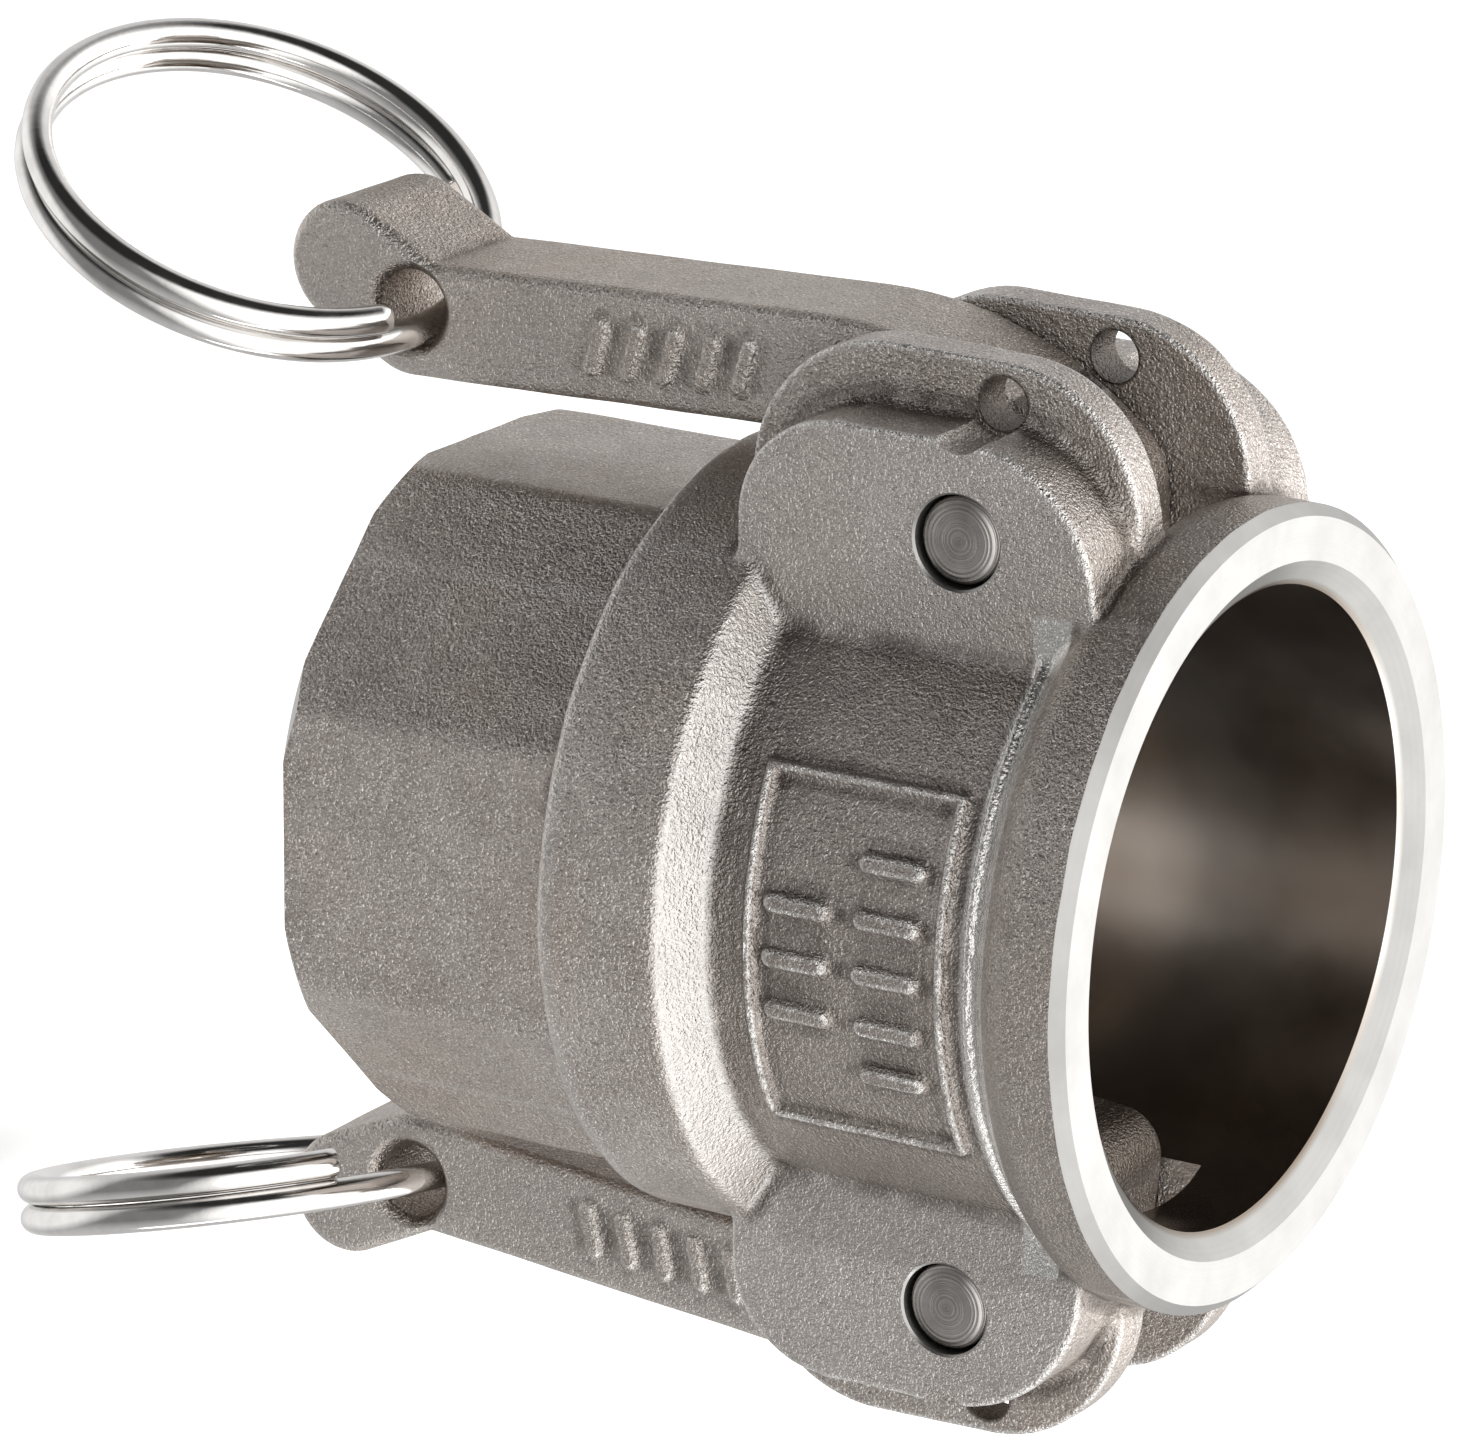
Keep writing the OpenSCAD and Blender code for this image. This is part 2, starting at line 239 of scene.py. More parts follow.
def shoulder_blank(r, z):
    """The shoulder, its upper edge sloping down to the waist."""
    slope = (r - SHOULDER_R) * STEP_ACROSS + (z - SHOULDER_HIGH + 0.6) * STEP_ALONG
    disc = extrude(r - SHOULDER_R, z, SHOULDER_LOW, SHOULDER_HIGH + 3, SHOULDER_ROUND)
    return smooth_max(disc, slope, 0.6)


def collar_blank(r, z):
    """The mouth's collar, which widens from the waist at 45 degrees."""
    flank = (r - WAIST_R - (z - COLLAR_LOW)) * math.sqrt(0.5)
    collar = smooth_max(flank, r - COLLAR_R, COLLAR_ROUND)
    return np.maximum(collar, slab(z, COLLAR_LOW - 3, LENGTH + 0.6))


def turned_blank(x, y, z):
    """Octagon, shoulder, waist and collar, with the fillets that the casting has between them."""
    r = np.sqrt(x * x + y * y)
    waist = np.maximum(r - WAIST_R - panel_relief(x, y, z), slab(z, SHOULDER_LOW + 2, LENGTH - 2))
    bead = circle2(r, z, (WAIST_R + 0.3, COLLAR_LOW - 0.1), BEAD_R)
    core = smooth_min(waist, shoulder_blank(r, z), STEP_FILLET)
    core = smooth_min(smooth_min(core, collar_blank(r, z), FLANK_FILLET), bead, 0.3)
    return smooth_min(core, octagon_blank(x, y, z), OCTAGON_FILLET)


def plate_outline(x, z):
    """A tall rounded plate that runs into the body."""
    root = box2(x, z, EAR_ROOT, (PLATE_HEAD[0] + PLATE_FOOT[0]) / 2, PLATE_LOW, EAR_TOP)
    return np.minimum(capsule2(x, z, PLATE_HEAD, PLATE_FOOT, PLATE_R), root)


def boss_outline(x, z):
    """A round head behind the pin and a smaller round foot, joined by a straight side."""
    (head_x, head_z), (foot_x, foot_z) = BOSS_HEAD, BOSS_FOOT
    upper = circle2(x, z, BOSS_HEAD, BOSS_HEAD_R)
    upper = np.minimum(upper, box2(x, z, EAR_ROOT, head_x, head_z, EAR_TOP))
    lower = circle2(x, z, BOSS_FOOT, BOSS_FOOT_R)
    lower = np.minimum(lower, box2(x, z, EAR_ROOT, foot_x, foot_z - BOSS_FOOT_R, foot_z))
    middle = box2(x, z, EAR_ROOT, BOSS_SIDE, foot_z, head_z)
    return np.minimum(smooth_min(upper, middle, 0.5), smooth_min(lower, middle, 0.5))


def ears(x, y, z):
    """All four ears at once, by symmetry."""
    ax, ay = np.abs(x), np.abs(y)
    plate = extrude(plate_outline(ax, z), ay, EAR_IN, PLATE_OUT, PLATE_EDGE)
    boss = extrude(boss_outline(ax, z), ay, EAR_IN + 1, BOSS_OUT, BOSS_EDGE)
    return smooth_min(plate, boss, BOSS_FILLET)


def body_field(x, y, z):
    """The whole casting before it is machined."""
    blank = smooth_min(turned_blank(x, y, z), ears(x, y, z), EAR_FILLET)
    return blank - unevenness(x, y, z, BODY_WAVE)


# ---------------------------------------------------------------- arm casting

def arc(cu, cw, r, start, end, n):
    """Points of a round stretch of outline, its angles in degrees."""
    turns = [math.radians(start + (end - start) * i / n) for i in range(n + 1)]
    return [(cu + r * math.cos(t), cw + r * math.sin(t)) for t in turns]


def arm_outline():
    """Nose, straight inner side, hook with the ring's hole, and the long back, whose curve meets the head."""
    back_u, back_w = ARM_BACK
    back_r = (back_u ** 2 + back_w ** 2 - ARM_HEAD_R ** 2) / (2 * (back_u - ARM_HEAD_R))
    back_end = math.degrees(math.atan2(-back_w, back_r - back_u))
    return (
        [(ARM_INNER_U, -12.5), (ARM_INNER_U, ARM_HEEL[1])]
        + arc(*ARM_HEEL, 184, 212, 5)
        + arc(*ARM_HOOK, 208, 384, 22)
        + [ARM_NECK]
        + arc(back_u - back_r, back_w, back_r, 0, back_end, 14)
        + arc(0, 0, ARM_HEAD_R, back_end + 6, 90, 6)
        + arc(*ARM_NOSE_TOP, 90, 180, 10)
        + arc(*ARM_NOSE_LOW, 180, 270, 10)
        + [ARM_THROAT]
    )


ARM_POINTS = arm_outline()


def arm_marks(u, w):
    """Distance to the plain raised bars on the arm's front face."""
    d = np.full(np.broadcast(u, w).shape, 1e9, np.float32)
    for i in range(ARM_BARS):
        place = ARM_BAR_LOW + ARM_BAR_SPACING * i
        start, end = (ARM_BAR_U[0], place), (ARM_BAR_U[1], place + ARM_BAR_LEAN)
        d = np.minimum(d, capsule2(u, w, start, end, ARM_BAR_R))
    return d


def arm_field(u, y, w):
    """An arm's casting, with its raised bars."""
    body = extrude(polygon2(u, w, ARM_POINTS), y, -ARM_HALF_W, ARM_HALF_W, ARM_EDGE)
    raised = np.maximum(arm_marks(u, w), slab(y, -ARM_HALF_W - ARM_BAR_RISE, 0))
    return smooth_min(body, raised, 0.35) - unevenness(u, y, w, ARM_WAVE)


# ---------------------------------------------------------------- tracing a field to a mesh

CORNERS = [(i, j, k) for i in (0, 1) for j in (0, 1) for k in (0, 1)]
CELL_EDGES = [(a, b) for a in CORNERS for b in CORNERS if a < b and sum(map(abs, np.subtract(a, b))) == 1]


def cell_points(values, cells):
    """One point in each crossed cell, at the middle of the places where its edges cross zero."""
    total = np.zeros((len(cells[0]), 3), np.float32)
    count = np.zeros(len(cells[0]), np.float32)
    for a, b in CELL_EDGES:
        va = values[tuple(c + o for c, o in zip(cells, a))]
        vb = values[tuple(c + o for c, o in zip(cells, b))]
        crossed = (va < 0) != (vb < 0)
        t = np.where(crossed, va / np.where(crossed, va - vb, 1), 0)
        for n in range(3):
            total[:, n] += crossed * (a[n] + t * (b[n] - a[n]))
        count += crossed
    return np.stack(cells, 1) + total / count[:, None]


def net_quads(inside, ids):
    """A quad across each grid edge that the surface crosses, its normal pointing out."""
    quads = []
    for axis in range(3):
        u, v = (axis + 1) % 3, (axis + 2) % 3
        low = np.moveaxis(inside, (axis, u, v), (0, 1, 2))
        cell = np.moveaxis(ids, (axis, u, v), (0, 1, 2))
        crossed = low[:-1, 1:-1, 1:-1] != low[1:, 1:-1, 1:-1]
        i, j, k = np.nonzero(crossed)
        quad = np.stack([cell[i, j, k], cell[i, j + 1, k], cell[i, j + 1, k + 1], cell[i, j, k + 1]], 1)
        backward = ~low[i, j + 1, k + 1]
        quad[backward] = quad[backward][:, ::-1]
        quads.append(quad)
    return np.concatenate(quads)


def gradient(field, p, h):
    """Unit normals of the field at some points."""
    grad = np.empty_like(p)
    for n in range(3):
        step = np.zeros(3, np.float32)
        step[n] = h
        a, b = p + step, p - step
        grad[:, n] = field(*a.T) - field(*b.T)
    return grad / np.maximum(np.linalg.norm(grad, axis=1, keepdims=True), 1e-9)


def trace(field, low, high, step):
    """Points and quads of the surface where field is zero."""
    axes = [np.arange(a - MARGIN, b + MARGIN + step, step, dtype=np.float32) for a, b in zip(low, high)]
    values = np.asarray(field(*np.meshgrid(*axes, indexing="ij", sparse=True)), np.float32)
    inside = values < 0
    nx, ny, nz = np.subtract(inside.shape, 1)
    count = sum(inside[i:nx + i, j:ny + j, k:nz + k].astype(np.uint8) for i, j, k in CORNERS)
    active = (count > 0) & (count < 8)
    ids = np.full(active.shape, -1, np.int32)
    cells = np.nonzero(active)
    ids[cells] = np.arange(len(cells[0]))
    points = cell_points(values, cells) * step + np.array([a[0] for a in axes], np.float32)
    points = points.astype(np.float32)
    for _ in range(2):
        points -= np.clip(field(*points.T), -step / 2, step / 2)[:, None] * gradient(field, points, 0.1)
    return points, net_quads(inside, ids)


# ---------------------------------------------------------------- mesh helpers

def new_mesh(name, points, faces, material_index=0):
    mesh = bpy.data.meshes.new(name)
    mesh.from_pydata(np.asarray(points).tolist(), [], faces.tolist() if hasattr(faces, "tolist") else faces)
    mesh.update()
    mesh.polygons.foreach_set("material_index", [material_index] * len(mesh.polygons))
    return mesh


def new_object(name, mesh):
    obj = bpy.data.objects.new(name, mesh)
    bpy.context.scene.collection.objects.link(obj)
    return obj


def on_circle(r, turn, z):
    """The point at a radius and a height, a part of a turn round Z."""
    return (r * math.cos(2 * math.pi * turn), r * math.sin(2 * math.pi * turn), z)


def lathe(profile, sides=LATHE_SIDES, closed=False):
    """Points and faces of a profile of (r, z) turned round Z, from axis to axis or a closed loop."""
    points, rows = [], []
    for r, z in profile:
        if r < 1e-6:
            rows.append([len(points)])
            points.append((0, 0, z))
        else:
            rows.append(list(range(len(points), len(points) + sides)))
            points += [on_circle(r, i / sides, z) for i in range(sides)]
    pairs = list(zip(rows, rows[1:])) + ([(rows[-1], rows[0])] if closed else [])
    faces = []
    for a, b in pairs:
        for i in range(sides):
            j = (i + 1) % sides
            quad = [a[i % len(a)], a[j % len(a)], b[j % len(b)], b[i % len(b)]]
            face = list(dict.fromkeys(quad))
            if len(face) > 2:
                faces.append(face)
    return points, faces


def sleeve_faces(rows, sides):
    """Quads of a sleeve whose points go round ring by ring."""
    faces = []
    for i in range(rows):
        for j in range(sides):
            n = (j + 1) % sides
            faces.append([i * sides + j, i * sides + n, (i + 1) * sides + n, (i + 1) * sides + j])
    return faces


def lathe_mesh(name, profile, material_index=0, sides=LATHE_SIDES, closed=False):
    mesh = new_mesh(name, *lathe(profile, sides, closed), material_index)
    fix_normals(mesh)
    return mesh


def fix_normals(mesh):
    """Turns every face to look outwards."""
    bm = bmesh.new()
    bm.from_mesh(mesh)
    bmesh.ops.recalc_face_normals(bm, faces=bm.faces)
    bm.to_mesh(mesh)
    bm.free()


def along_y(x, z):
    """Lays what was turned round Z along Y, at a place in x and z."""
    return Matrix.Translation((x, 0, z)) @ Matrix.Rotation(math.radians(-90), 4, "X")


def rod_along_y(name, x, z, r, y_low, y_high, material_index, sides=64):
    """A round cutter that lies along Y."""
    mesh = lathe_mesh(name, [(0, y_low), (r, y_low), (r, y_high), (0, y_high)], material_index, sides)
    mesh.transform(along_y(x, z))
    return mesh


def chamfered_hole(name, x, z, r, rim, half, material_index):
    """The cutter of a hole through a piece that reaches half to each side of y = 0, its mouths chamfered."""
    profile = [(0, -half - 1), (r + rim + 1, -half - 1), (r, -half + rim)]
    profile += [(r, half - rim), (r + rim + 1, half + 1), (0, half + 1)]
    mesh = lathe_mesh(name, profile, material_index, 72)
    mesh.transform(along_y(x, z))
    return mesh


def cut(target, mesh, materials, operation="DIFFERENCE"):
    """Cuts one object with a mesh, exactly, and keeps the cutter's material on the cut faces."""
    tool = new_object("cutter", mesh)
    add_materials(mesh, materials)
    modifier = target.modifiers.new("cut", "BOOLEAN")
    modifier.operation = operation
    modifier.object = tool
    modifier.solver = "MANIFOLD"
    bake_modifiers(target)
    bpy.data.objects.remove(tool)


def bake_modifiers(obj):
    """Replaces an object's mesh with what its modifiers make of it."""
    depsgraph = bpy.context.evaluated_depsgraph_get()
    made = bpy.data.meshes.new_from_object(obj.evaluated_get(depsgraph))
    old = obj.data
    obj.modifiers.clear()
    obj.data = made
    bpy.data.meshes.remove(old)


def mark_sharp(mesh):
    """Crisp edges round machined faces, between them, and where a cast skin turns hard."""
    faces, loops = len(mesh.polygons), len(mesh.loops)
    normals, material = np.empty(faces * 3, np.float32), np.empty(faces, np.int32)
    corners, loop_edge = np.empty(faces, np.int32), np.empty(loops, np.int32)
    mesh.polygons.foreach_get("normal", normals)
    mesh.polygons.foreach_get("material_index", material)
    mesh.polygons.foreach_get("loop_total", corners)
    mesh.loops.foreach_get("edge_index", loop_edge)
    order = np.argsort(loop_edge, kind="stable")
    edge, face = loop_edge[order], np.repeat(np.arange(faces), corners)[order]
    shared = edge[1:] == edge[:-1]
    a, b = face[:-1][shared], face[1:][shared]
    cosine = (normals.reshape(-1, 3)[a] * normals.reshape(-1, 3)[b]).sum(1)
    degrees = np.where(material[a] != material[b], 8, np.where(material[a] == 1, 18, 50))
    sharp = np.zeros(len(mesh.edges), bool)
    sharp[edge[:-1][shared]] = cosine < np.cos(np.radians(degrees))
    attribute = mesh.attributes.get("sharp_edge") or mesh.attributes.new("sharp_edge", "BOOLEAN", "EDGE")
    attribute.data.foreach_set("value", sharp)


def finish_surface(obj):
    """Smooth shading that stays crisp at machined edges."""
    mesh = obj.data
    mesh.polygons.foreach_set("use_smooth", [True] * len(mesh.polygons))
    mark_sharp(mesh)
    weighted = obj.modifiers.new("weighted", "WEIGHTED_NORMAL")
    weighted.keep_sharp = True
    weighted.weight = 80


def vertex_points(mesh):
    """A mesh's points as rows of an array."""
    co = np.empty(len(mesh.vertices) * 3, np.float32)
    mesh.vertices.foreach_get("co", co)
    return co.reshape(-1, 3)


def store(mesh, name, values):
    """Keeps a number for each point, for a material to read."""
    mesh.attributes.new(name, "FLOAT", "POINT").data.foreach_set("value", values.astype(np.float32))


def bend(field, p, reach):
    """How sharply the skin bends round each point: above zero on edges, below zero in corners."""
    total = -6 * field(*p.T)
    for n in range(3):
        step = np.zeros(3, np.float32)
        step[n] = reach
        total += field(*(p + step).T) + field(*(p - step).T)
    return np.clip(total / reach, -2, 2)


def mark_wear_highlight_and_shade(mesh, field):
    """Stores the fine bends, lightened as partly real wear and partly painted highlight, and the broad
    hollows, darkened as painted shade.
    """
    p = vertex_points(mesh)
    store(mesh, "wear_and_highlight", bend(field, p, 0.4))
    store(mesh, "hollow_shade", -bend(field, p, 1.3))


def mark_highlight_and_shade(mesh):
    """Stores the painted highlights round its step, corner and collar, and the painted shade on its waist."""
    x, y, z = vertex_points(mesh).T
    radius = np.hypot(x, y)
    slope = (body_field(x, y, z + 0.2) - body_field(x, y, z - 0.2)) / 0.4
    # Painted highlights: a band on the step, a band on the collar flank and a line along the shoulder's lower
    # corner.
    step = 0.7 * np.clip((slope - 0.3) / 0.3, 0, 1) * (np.abs(z - SHOULDER_HIGH - 0.5) < 2.2)
    flank = (np.abs(z - COLLAR_LOW - 0.5) < 1.4) * (radius < COLLAR_R - 0.3)
    corner = 0.5 * np.clip(1.3 - np.abs(z - SHOULDER_LOW - 0.5), 0, 1) * (np.abs(radius - SHOULDER_R) < 0.8)
    store(mesh, "turned_and_highlight", np.maximum(np.maximum(step, flank), corner))
    # Painted shade on the waist above the step, deeper towards +x.
    spread = 0.65 + 0.35 * np.clip(x / 15, -1, 1)
    store(mesh, "waist_shade", spread * np.clip((z - SHOULDER_HIGH - 1.6) / 1.2, 0, 1) * (radius < 30))


def hand_over(obj, body, node):
    """Brings a finished piece to metres, shades it, and says what it rides on and replaces."""
    obj.data.transform(Matrix.Scale(MM, 4))
    finish_surface(obj)
    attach(obj, body)
    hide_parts(node)


def add_materials(mesh, materials):
    for material in materials:
        mesh.materials.append(material)


# ---------------------------------------------------------------- body

def envelope_profile():
    """What the lathe leaves outside: the pipe end with its chamfer, and the mouth's rim with its bevel."""
    return [
        (0, 0), (PIPE_RIM_R, 0), (PIPE_RIM_R + PIPE_BEVEL, PIPE_BEVEL), (LATHE_CLEAR_R, PIPE_BEVEL),
        (LATHE_CLEAR_R, LENGTH - 3), (RIM_R + 3, LENGTH - 3), (RIM_R, LENGTH), (0, LENGTH),
    ]


def bore_profile():
    """The socket with its chamfered mouth, the gasket's groove and the waterway down to the thread."""
    return [
        (0, THREAD_DEPTH - 0.5), (WATERWAY_R, THREAD_DEPTH - 0.5), (WATERWAY_R, GROOVE_LOW - 0.5),
        (WATERWAY_R + 0.5, GROOVE_LOW), (GROOVE_R, GROOVE_LOW), (GROOVE_R, GROOVE_HIGH),
        (LAND_R, GROOVE_HIGH), (LAND_R, LENGTH - MOUTH_CHAMFER), (FACE_IN_R, LENGTH),
        (FACE_IN_R, LENGTH + 2), (0, LENGTH + 2),
    ]


def thread_mesh(material_index):
    """A tapered bore with a 60 degree thread, as a solid cutter."""
    sides, rows_per_turn = 128, 10
    rows = int((THREAD_DEPTH + 1.5) / THREAD_PITCH * rows_per_turn)
    points = []
    for i in range(rows + 1):
        z = -1.0 + (THREAD_DEPTH + 1.0) * i / rows
        for j in range(sides):
            turn = j / sides
            phase = (z / THREAD_PITCH - turn) % 1
            groove = min(max(2.2 * (1 - abs(2 * phase - 1)) - 0.6, 0), 1)
            fade = min(max((THREAD_DEPTH - 2 - z) / 3, 0), 1)
            r = THREAD_CREST_R - TAPER * max(z, 0) + THREAD_HEIGHT * groove * fade
            r = max(r, THREAD_CREST_R + 1.9 - max(z, 0))
            points.append(on_circle(r, turn, z))
    faces = sleeve_faces(rows, sides)
    for row, z in ((0, -1.0), (rows, THREAD_DEPTH)):
        points.append((0, 0, z))
        faces += [[row * sides + j, row * sides + (j + 1) % sides, len(points) - 1] for j in range(sides)]
    mesh = new_mesh("thread", points, faces, material_index)
    fix_normals(mesh)
    return mesh


def build_body(cast, bright):
    """Traces the casting, turns its outside, then cuts the socket, thread, windows, pin and lock holes."""
    reach_x, reach_y = BODY_REACH
    points, quads = trace(body_field, (-reach_x, -reach_y, -1), (reach_x, reach_y, LENGTH + 1), GRID)
    obj = new_object("coupler_body", new_mesh("coupler_body", points, quads))
    both = [cast, bright]
    add_materials(obj.data, both)
    cut(obj, lathe_mesh("envelope", envelope_profile(), 1), both, "INTERSECT")
    cut(obj, lathe_mesh("bore", bore_profile(), 1), both)
    cut(obj, thread_mesh(1), both)
    for side in (-1, 1):
        cut(obj, rod_along_y("window", side * PIN_X, PIN_Z, WINDOW_R, -EAR_IN, EAR_IN, 0, 96), both)
        cut(obj, chamfered_hole("pin_hole", side * PIN_X, PIN_Z, PIN_HOLE_R, PIN_HOLE_RIM, BOSS_OUT, 1), both)
        past, groove_from = BOSS_OUT + MARGIN, PLATE_OUT + 0.1
        cut(obj, rod_along_y("lock_hole", side * LOCK_X, PIN_Z, LOCK_R, -past, past, 0), both)
        for low, high in ((-past, -groove_from), (groove_from, past)):
            cut(obj, rod_along_y("lock_groove", side * LOCK_X, PIN_Z, LOCK_GROOVE_R, low, high, 0), both)
    mark_wear_highlight_and_shade(obj.data, body_field)
    mark_highlight_and_shade(obj.data)
    hand_over(obj, "coupler", "body")


# ---------------------------------------------------------------- cam arms

def arm_place(side):
    """From the arm's own frame (u, y, w) to the row frame, in millimetres."""
    turn = Matrix.Rotation(LEAN[side], 4, "Y")
    placed = Matrix.Translation((PIN_X, 0, PIN_Z)) @ turn
    return placed if side == "right" else Matrix.Diagonal((-1, 1, 1, 1)) @ placed


def build_arm(side, cast, bright):
    """Traces an arm in its own frame, cuts its two holes and swings it to where it rests."""
    points, quads = trace(arm_field, *ARM_REACH, GRID)
    obj = new_object("cam_arm_casting_" + side, new_mesh("cam_arm_" + side, points, quads))
    both = [cast, bright]
    add_materials(obj.data, both)
    cut(obj, chamfered_hole("ring_hole", *RING_HOLE, RING_HOLE_R, RING_HOLE_RIM, ARM_HALF_W, 0), both)
    cut(obj, rod_along_y("pin_bore", 0, 0, PIN_R + 0.05, -8, 8, 1), both)
    mark_wear_highlight_and_shade(obj.data, arm_field)
    obj.data.transform(arm_place(side))
    if side == "left":
        obj.data.flip_normals()
    hand_over(obj, "arm_" + side, "cam_arm_" + side)


# ---------------------------------------------------------------- pins, gasket and rings

def pin_profile():
    """Half the outline of a pivot pin: chamfered, faintly coned ends."""
    half = BOSS_OUT - PIN_SUNK
    dome = [(0.0, half + 0.02), (0.2, half + 0.05), (1.0, half + 0.03), (2.0, half - 0.03),
            (2.75, half - 0.1), (PIN_R - 0.08, half - 0.4), (PIN_R, half - 0.55)]
    return [(r, -z) for r, z in dome] + [(r, z) for r, z in reversed(dome)]


def build_pin(side, turned_and_highlight):
    mesh = lathe_mesh("pivot_pin", pin_profile(), 0, 96)
    mesh.transform(along_y(SIDE[side] * PIN_X, PIN_Z))
    obj = new_object("pivot_pin_turned_" + side, mesh)
    mesh.materials.append(turned_and_highlight)
    hand_over(obj, "coupler", "pivot_pin_" + side)


def gasket_profile():
    """The section of the sealing ring: round corners, and a shallow groove round the middle of its top."""
    low, high = GROOVE_LOW + 0.02, GROOVE_LOW + 5.56
    r_in, r_out, bead = 17.6, 24.55, 0.9
    mid, lip, dip = (r_in + r_out) / 2, high - 0.02, high - 0.35
    return [
        (r_in, low + bead), (r_in + bead, low), (r_out - bead, low), (r_out, low + bead),
        (r_out, high - bead), (r_out - bead, high),
        (mid + 1.6, lip), (mid + 1.1, dip), (mid - 1.1, dip), (mid - 1.6, lip),
        (r_in + bead, high), (r_in + bead * 0.3, high - bead * 0.3), (r_in, high - bead),
    ]


def build_gasket(rubber):
    obj = new_object("gasket_ring", lathe_mesh("gasket_ring", gasket_profile(), 0, LATHE_SIDES, closed=True))
    obj.data.materials.append(rubber)
    hand_over(obj, "coupler", "gasket")


def ring_place(side):
    """From the coil's own frame, its middle at the origin, to the row frame, in millimetres."""
    lean, out = LEAN[side], SIDE[side]
    u, w = RING_HOLE
    hole = (out * (PIN_X + u * math.cos(lean) + w * math.sin(lean)), 0,
            PIN_Z - u * math.sin(lean) + w * math.cos(lean))
    return (Matrix.Translation(hole) @ Matrix.Rotation(-out * SWING[side], 4, "Y")
            @ Matrix.Translation((WIRE_OUT[side], 0, WIRE_UP[side]))
            @ Matrix.Rotation(math.radians(90) - out * TWIST[side], 4, "Z")
            @ Matrix.Rotation(ROLL, 4, "Y") @ Matrix.Translation((0, 0, -COIL_R)))


def coil_centre(t):
    """The wire's centre line, t turns round from the hole, in the coil's own frame."""
    turn = 2 * math.pi * t
    return Vector((COIL_R * math.sin(turn), COIL_PITCH * t, COIL_R * math.cos(turn)))


def coil_mesh(name, start, end):
    """Two touching turns of round wire with square-cut, lightly chamfered ends."""
    sides, rows, chamfer = 24, 260, 0.15
    points = []
    edge = chamfer / (2 * math.pi * COIL_R)
    places = [(start, WIRE_R - chamfer)]
    places += [(start + edge + (end - start - 2 * edge) * i / rows, WIRE_R) for i in range(rows + 1)]
    places += [(end, WIRE_R - chamfer)]
    for t, r in places:
        turn = 2 * math.pi * t
        out = Vector((math.sin(turn), 0, math.cos(turn)))
        for k in range(sides):
            a = 2 * math.pi * k / sides
            points.append(coil_centre(t) + r * (math.cos(a) * out + math.sin(a) * Vector((0, 1, 0))))
    last = (len(places) - 1) * sides
    faces = sleeve_faces(len(places) - 1, sides)
    faces += [list(range(sides)), [last + k for k in reversed(range(sides))]]
    mesh = new_mesh(name, [tuple(p) for p in points], faces)
    fix_normals(mesh)
    return mesh


def build_ring(side, wire):
    mesh = coil_mesh("split_ring_" + side, *COIL_ENDS[side])
    mesh.transform(ring_place(side))
    obj = new_object("split_ring_" + side, mesh)
    mesh.materials.append(wire)
    hand_over(obj, "ring_" + side, "pull_ring_" + side)


# ---------------------------------------------------------------- materials

